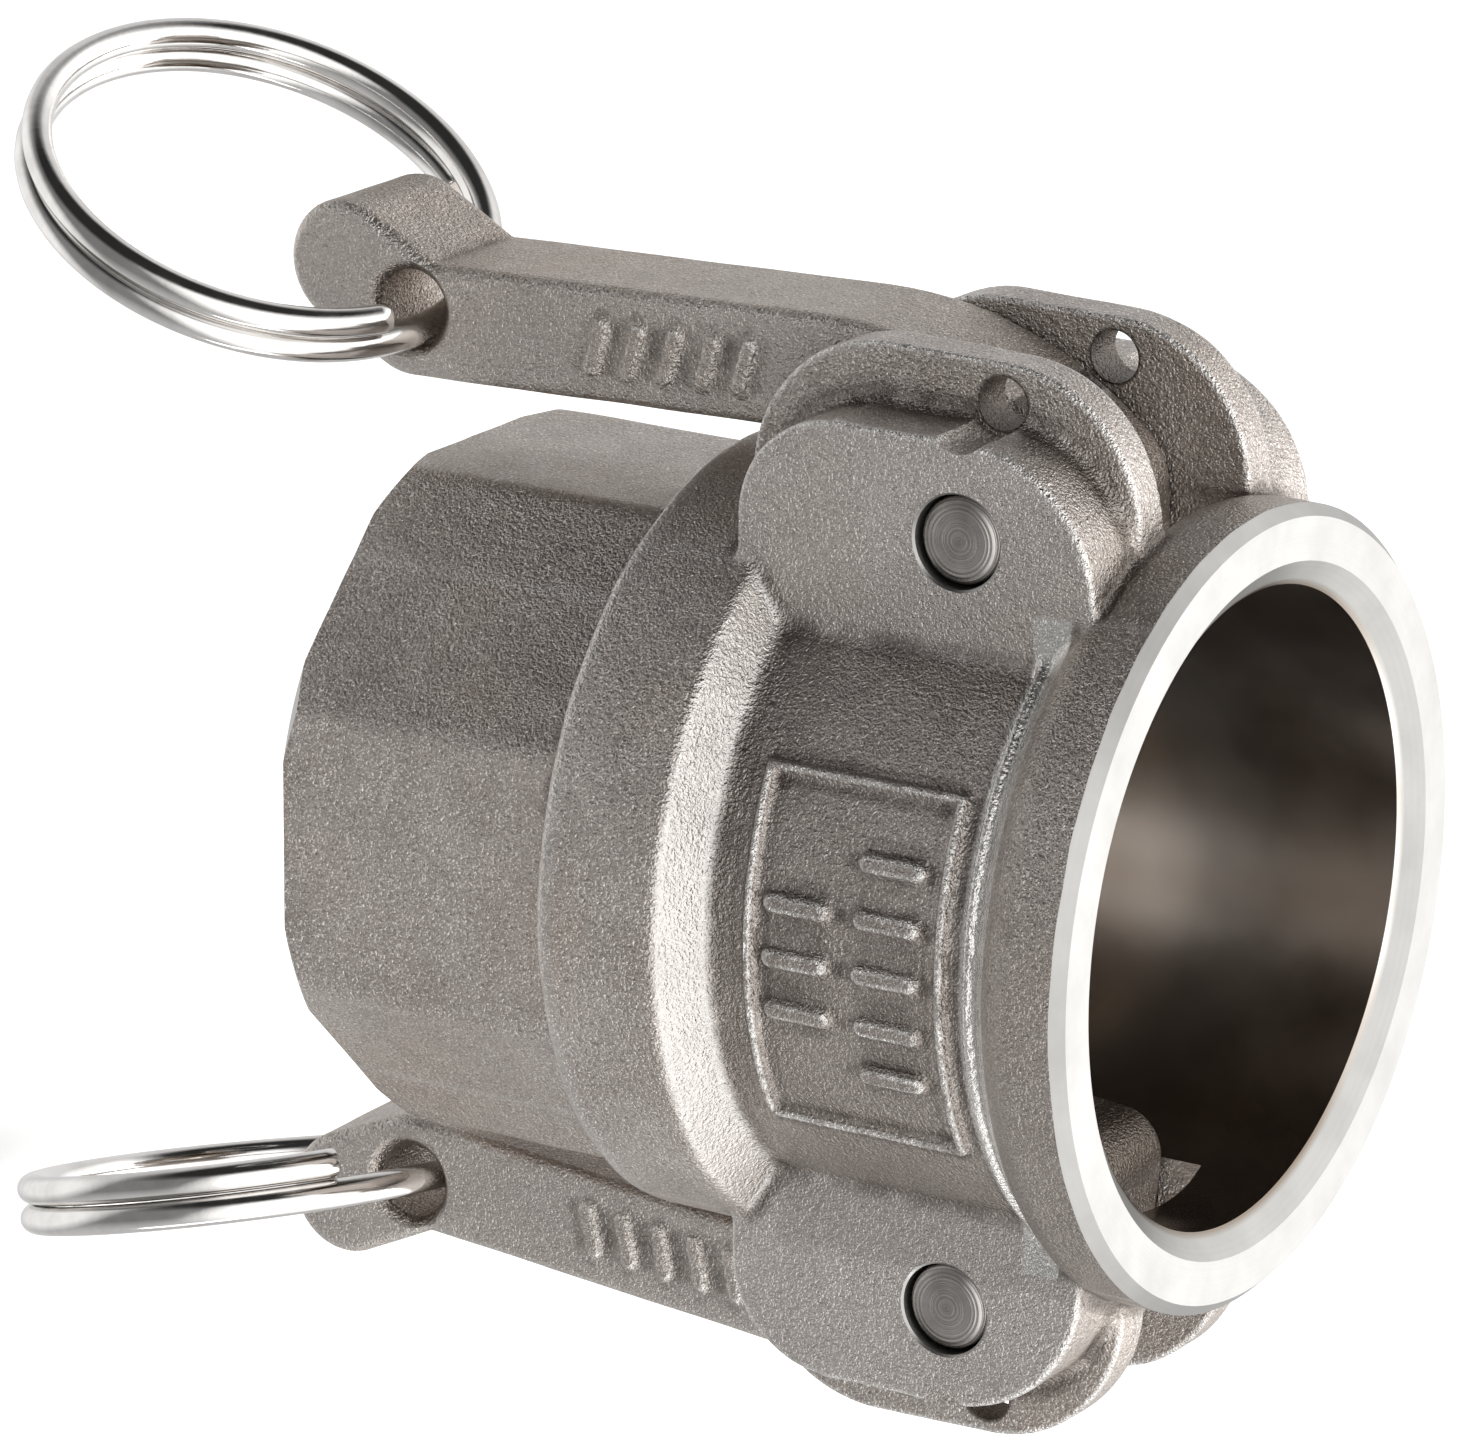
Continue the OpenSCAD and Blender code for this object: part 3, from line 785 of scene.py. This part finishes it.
class Nodes:
    """Short calls for wiring a material, or the world."""

    def __init__(self, owner, shader="Principled BSDF", point="Object"):
        self.owner = owner
        owner.use_nodes = True
        self.tree = owner.node_tree
        self.shader = self.tree.nodes[shader]
        self.point = self.add("ShaderNodeTexCoord").outputs[point]

    @classmethod
    def material(cls, name):
        return cls(bpy.data.materials.new(name))

    def add(self, kind, **values):
        node = self.tree.nodes.new(kind)
        for key, value in values.items():
            setattr(node, key, value)
        return node

    def link(self, source, target):
        self.tree.links.new(source, target)

    def noise(self, size_mm, detail=4.0, roughness=0.6, stretch=(1, 1, 1)):
        """Noise with bumps of about this size."""
        place = self.add("ShaderNodeMapping")
        place.inputs["Scale"].default_value = [s / (size_mm * MM) for s in stretch]
        self.link(self.point, place.inputs["Vector"])
        node = self.add("ShaderNodeTexNoise")
        node.inputs["Scale"].default_value = 1.0
        node.inputs["Detail"].default_value = detail
        node.inputs["Roughness"].default_value = roughness
        self.link(place.outputs["Vector"], node.inputs["Vector"])
        return node.outputs["Fac"]

    def attribute(self, name):
        return self.add("ShaderNodeAttribute", attribute_name=name).outputs["Fac"]

    def remap(self, value, low, high, to_low=0.0, to_high=1.0):
        """A straight ramp between two values, level outside them."""
        node = self.add("ShaderNodeMapRange")
        for key, number in (("From Min", low), ("From Max", high), ("To Min", to_low), ("To Max", to_high)):
            node.inputs[key].default_value = number
        self.link(value, node.inputs["Value"])
        return node.outputs["Result"]

    def math(self, operation, a, b):
        node = self.add("ShaderNodeMath", operation=operation)
        for socket, value in zip(node.inputs, (a, b)):
            if isinstance(value, (int, float)):
                socket.default_value = value
            else:
                self.link(value, socket)
        return node.outputs["Value"]

    def mix(self, factor, a, b):
        """Blends two colours, each a tuple or another node's output."""
        node = self.add("ShaderNodeMix", data_type="RGBA")
        self.link(factor, node.inputs["Factor"])
        for socket, value in ((node.inputs[6], a), (node.inputs[7], b)):
            if isinstance(value, tuple):
                socket.default_value = (*value, 1)
            else:
                self.link(value, socket)
        return node.outputs[2]

    def bump(self, height, distance_mm, strength=1.0, below=None):
        node = self.add("ShaderNodeBump")
        node.inputs["Distance"].default_value = distance_mm * MM
        if isinstance(strength, float):
            node.inputs["Strength"].default_value = strength
        else:
            self.link(strength, node.inputs["Strength"])
        self.link(height, node.inputs["Height"])
        if below is not None:
            self.link(below, node.inputs["Normal"])
        return node.outputs["Normal"]

    def part(self, axis):
        """One coordinate of the point, in metres."""
        split = self.add("ShaderNodeSeparateXYZ")
        self.link(self.point, split.inputs["Vector"])
        return split.outputs[axis]

    def size(self, axis):
        """A coordinate without its sign, in metres."""
        return self.math("ABSOLUTE", self.part(axis), 0)

    def distance(self, a, b):
        """The length of a vector with these two parts, from metres to millimetres."""
        squares = self.math("ADD", self.math("POWER", a, 2), self.math("POWER", b, 2))
        return self.math("DIVIDE", self.math("SQRT", squares, 0), MM)

    def radius(self):
        """Distance from the bore axis, in millimetres."""
        return self.distance(self.part("X"), self.part("Y"))

    def depth(self):
        """Distance from the plane between the ears, in millimetres."""
        return self.math("DIVIDE", self.size("Y"), MM)

    def from_hole(self, x):
        """Distance from the nearer axis along Y of a pair through the ears at this x, in millimetres."""
        across = self.math("SUBTRACT", self.size("X"), x * MM)
        return self.distance(across, self.math("SUBTRACT", self.part("Z"), PIN_Z * MM))

    def sideways(self, radius):
        """0 where the bore faces front or back, 1 where it faces the ears."""
        return self.math("DIVIDE", self.math("DIVIDE", self.size("X"), MM), radius)

    def rings(self, distance, scale, detail):
        """Tool marks round an axis: noise that changes only with the distance from it."""
        node = self.add("ShaderNodeTexNoise", noise_dimensions="1D")
        node.inputs["Scale"].default_value = scale
        node.inputs["Detail"].default_value = detail
        self.link(distance, node.inputs["W"])
        return node.outputs["Fac"]

    def set(self, colour=None, roughness=None, normal=None, metallic=1.0):
        self.shader.inputs["Metallic"].default_value = metallic
        for name, value in (("Base Color", colour), ("Roughness", roughness), ("Normal", normal)):
            if value is not None:
                self.link(value, self.shader.inputs[name])
        return self.owner


def darker(colour, factor):
    return tuple(c * factor for c in colour)


def skin_colour(n, grain, fine, dark, light, tint):
    """The blasted skin: slow drift and stains, dark between its grains, and painted glints on some of them.
    """
    colour = n.mix(n.remap(n.noise(8, 3), 0.35, 0.68), dark, light)
    stain = n.remap(n.noise(15, 4, 0.55), 0.5, 0.72)
    colour = n.mix(n.math("MULTIPLY", stain, 0.7), colour, tint)
    colour = n.mix(n.remap(grain, 0.46, 0.3, 0, 0.6), colour, darker(dark, 0.35))
    # Painted glints: some fine grains lightened.
    return n.mix(n.remap(fine, 0.57, 0.69, 0, 0.75), colour, tuple(min(c * 1.9, 1) for c in light))


def shaded_by_place(n, colour, tint, proud_y):
    """Painted shade on the waist, the flat faces that stand proud made lighter, and painted shade inside the
    bore, in hollows and round the lock holes.
    """
    # Painted shade on the waist.
    colour = n.mix(n.math("MULTIPLY", n.attribute("waist_shade"), 0.6), colour, WAIST_SHADE)
    off_face = n.math("ABSOLUTE", n.math("SUBTRACT", n.depth(), proud_y), 0)
    colour = n.mix(n.math("MULTIPLY", n.remap(off_face, 0.5, 0.1), 0.4), colour, PROUD)
    # Painted shade on cast faces inside the bore.
    inside = n.remap(n.radius(), LAND_R + 0.8, LAND_R - 1, 0, 0.8)
    colour = n.mix(inside, colour, darker(tint, 0.3))
    # Painted shade in hollows, and in and round the lock holes.
    hollow_shade = n.math("MULTIPLY", n.remap(n.attribute("hollow_shade"), 0.1, 0.7), n.remap(n.noise(3, 3), 0.25, 0.6))
    hollow_shade = n.math("MAXIMUM", hollow_shade, n.remap(n.from_hole(LOCK_X), LOCK_R + 0.3, LOCK_R + 0.1, 0, 1.2))
    return n.mix(n.math("MULTIPLY", hollow_shade, 0.75), colour, darker(tint, 0.22))


def cast_steel(name, dark, light, tint, proud_y):
    """Blasted stainless casting: pebbled grain, slow colour drift, edges lightened by wear and painted
    highlight, painted highlight bands, and painted shade in corners.
    """
    n = Nodes.material(name)
    grain, fine, turned_and_highlight = n.noise(0.3, 2, 0.6), n.noise(0.17, 1, 0.5), n.attribute("turned_and_highlight")
    colour = skin_colour(n, grain, fine, dark, light, tint)
    colour = shaded_by_place(n, colour, tint, proud_y)
    # Lightened edges, partly real wear and partly painted highlight, joined by the painted highlight bands.
    edge = n.math("MULTIPLY", n.remap(n.attribute("wear_and_highlight"), 0.3, 1.1), n.remap(n.noise(1.2, 4), 0.3, 0.55))
    edge = n.math("MAXIMUM", edge, turned_and_highlight)
    colour = n.mix(n.math("MULTIPLY", edge, 0.75), colour, WORN_AND_HIGHLIGHT)
    roughness = n.math("ADD", n.remap(n.noise(2.5, 4), 0.3, 0.7, 0.3, 0.42), n.math("MULTIPLY", edge, -0.1))
    # Grain bumps eased on the painted highlight bands.
    flatter_on_highlight = n.remap(turned_and_highlight, 0, 0.8, 1.0, 0.6)
    normal = n.bump(n.noise(1.7, 4, 0.6), 0.12, 0.7)
    normal = n.bump(grain, 0.2, flatter_on_highlight, normal)
    normal = n.bump(fine, 0.1, flatter_on_highlight, normal)
    return n.set(colour, roughness, normal)


def machined_steel():
    """Turned faces: fine rings round the bore, a satin shine and faint stains; in the bore, pale streaks with
    painted shade on the sides towards the ears.
    """
    n = Nodes.material("machined_steel")
    radius = n.radius()
    rings = n.rings(radius, 5.0, 3.0)
    colour = n.mix(n.remap(n.noise(6, 4), 0.4, 0.7), (0.455, 0.45, 0.435), (0.40, 0.39, 0.375))
    colour = n.mix(n.remap(rings, 0.45, 0.75, 0, 0.2), colour, (0.37, 0.36, 0.34))
    inside = n.remap(radius, LAND_R + 0.1, LAND_R + 0.5, 1, 0)
    streaks = n.remap(n.noise(8, 1, 0.4, (1, 1, 0.1)), 0.35, 0.65)
    bore = n.mix(streaks, (0.72, 0.655, 0.60), (0.93, 0.88, 0.83))
    # Painted shade: the bore darkened where it faces the ears.
    bore = n.mix(n.remap(n.sideways(radius), 0.4, 0.88), bore, (0.26, 0.215, 0.175))
    colour = n.mix(inside, colour, bore)
    satin = n.remap(n.noise(6, 2), 0.35, 0.7, 0.32, 0.38)
    roughness = n.math("SUBTRACT", satin, n.math("MULTIPLY", inside, 0.12))
    normal = n.bump(rings, 0.012, 0.5)
    return n.set(colour, roughness, n.bump(n.noise(4, 2), 0.02, 0.5, normal))


def turned_steel():
    """Pin ends: rings round the pin's own axis."""
    n = Nodes.material("turned_steel")
    rings = n.rings(n.from_hole(PIN_X), 6.0, 2.0)
    colour = n.mix(n.remap(n.noise(1.5, 4), 0.35, 0.7), (0.62, 0.59, 0.56), (0.50, 0.47, 0.45))
    colour = n.mix(n.remap(rings, 0.4, 0.65, 0, 0.55), colour, (0.24, 0.22, 0.20))
    roughness = n.remap(n.noise(1.0, 4), 0.35, 0.7, 0.22, 0.34)
    return n.set(colour, roughness, n.bump(rings, 0.05, 1.0))


def polished_wire():
    """Drawn spring wire, polished, with faint smears."""
    n = Nodes.material("polished_wire")
    colour = n.mix(n.remap(n.noise(4, 3), 0.4, 0.7), (0.80, 0.78, 0.76), (0.66, 0.64, 0.62))
    roughness = n.remap(n.noise(1.8, 4), 0.35, 0.7, 0.08, 0.18)
    return n.set(colour, roughness, n.bump(n.noise(0.5, 3), 0.01, 0.5))


def gasket_rubber():
    """Matt black rubber with a faint bloom."""
    n = Nodes.material("gasket_rubber")
    colour = n.mix(n.remap(n.noise(3, 4), 0.35, 0.7), (0.02, 0.02, 0.02), (0.045, 0.043, 0.04))
    roughness = n.remap(n.noise(2, 4), 0.35, 0.7, 0.55, 0.75)
    return n.set(colour, roughness, n.bump(n.noise(0.3, 3), 0.03, 0.6), metallic=0.0)


def floor_paint():
    n = Nodes.material("floor_paint")
    colour = n.mix(n.remap(n.noise(60, 3), 0.3, 0.7), (0.93, 0.93, 0.93), (0.95, 0.95, 0.95))
    roughness = n.remap(n.noise(30, 3), 0.3, 0.7, 0.8, 0.9)
    return n.set(colour, roughness, metallic=0.0)


# ---------------------------------------------------------------- stage, lights and camera

def build_floor(paint):
    """A wide pale floor just under the hanging rings. The steel mirrors the studio, not the floor."""
    level = cad_box[0].z - FLOOR_DROP
    mesh = bpy.data.meshes.new("floor")
    bm = bmesh.new()
    bmesh.ops.create_grid(bm, x_segments=8, y_segments=8, size=FLOOR_HALF)
    for v in bm.verts:
        v.co.z = level
    bm.to_mesh(mesh)
    bm.free()
    obj = new_object("floor", mesh)
    obj.visible_glossy = False
    mesh.materials.append(paint)


def area_light(name, place, target, size, power, colour=(1, 1, 1)):
    data = bpy.data.lights.new(name, "AREA")
    data.shape = "RECTANGLE"
    data.size, data.size_y = size
    data.energy = power
    data.color = colour
    obj = new_object(name, data)
    obj.location = place
    obj.rotation_euler = (Vector(target) - Vector(place)).to_track_quat("-Z", "Y").to_euler()
    return obj


def toward(n, direction, low, high):
    """How nearly a ray heads in a direction: 0 where the cosine is low, 1 where it is high."""
    node = n.add("ShaderNodeVectorMath", operation="DOT_PRODUCT")
    n.link(n.point, node.inputs[0])
    node.inputs[1].default_value = Vector(direction).normalized()
    return n.remap(node.outputs["Value"], low, high)


def build_world():
    """A bright ceiling and underside round a dim room, which lightens to the back and darkens to the left."""
    world = bpy.data.worlds.new("studio")
    bpy.context.scene.world = world
    n = Nodes(world, "Background", "Generated")
    colour = n.mix(toward(n, (0, 1, 0), -0.4, 0.9), (ROOM_FRONT,) * 3, (ROOM_BACK,) * 3)
    colour = n.mix(toward(n, (1, 0, 0), 0.2, 0.9), colour, (ROOM_RIGHT,) * 3)
    colour = n.mix(toward(n, (0, 0, -1), 0.72, 0.92), colour, (UNDERSIDE,) * 3)
    colour = n.mix(toward(n, (0, 0, 1), 0.0, 0.35), colour, (CEILING,) * 3)
    colour = n.mix(toward(n, (-0.92, -0.1, 0.05), 0.62, 0.84), colour, (ROOM_LEFT,) * 3)
    n.link(colour, n.shader.inputs["Color"])
    n.shader.inputs["Strength"].default_value = 1.0


def build_lights():
    """A large soft lamp above and behind, and a narrow one low at the right."""
    middle = (0, 0, 0.03)
    area_light("overhead", (0.15, 0.45, 0.7), middle, (0.7, 0.7), 2.5)
    area_light("side_low", (0.65, -0.15, 0.05), middle, (0.12, 0.5), 0.5)


def build_camera():
    """A long lens that looks down into the mouth from the front left."""
    data = bpy.data.cameras.new("camera")
    data.sensor_width = CAMERA_SENSOR
    data.lens = CAMERA_LENS
    data.clip_start, data.clip_end = 0.01, 20
    obj = new_object("camera", data)
    place, aim = Vector(CAMERA_PLACE) * MM, Vector(CAMERA_AIM) * MM
    roll = Matrix.Rotation(math.radians(CAMERA_ROLL), 4, "Z")
    look = (aim - place).to_track_quat("-Z", "Y").to_matrix().to_4x4()
    obj.matrix_world = Matrix.Translation(place) @ look @ roll
    bpy.context.scene.camera = obj


def main():
    bpy.context.scene.view_settings.view_transform = "Standard"
    build_camera()
    build_world()
    build_lights()
    cast = cast_steel("cast_steel", (0.44, 0.39, 0.36), (0.56, 0.51, 0.475), (0.50, 0.42, 0.36), BOSS_OUT)
    arm = cast_steel("arm_steel", (0.42, 0.37, 0.335), (0.52, 0.465, 0.42), (0.46, 0.375, 0.31), ARM_HALF_W)
    bright, turned_and_highlight, wire, rubber = machined_steel(), turned_steel(), polished_wire(), gasket_rubber()
    build_floor(floor_paint())
    build_body(cast, bright)
    build_gasket(rubber)
    for side in ("left", "right"):
        build_pin(side, turned_and_highlight)
        build_arm(side, arm, bright)
        build_ring(side, wire)


main()
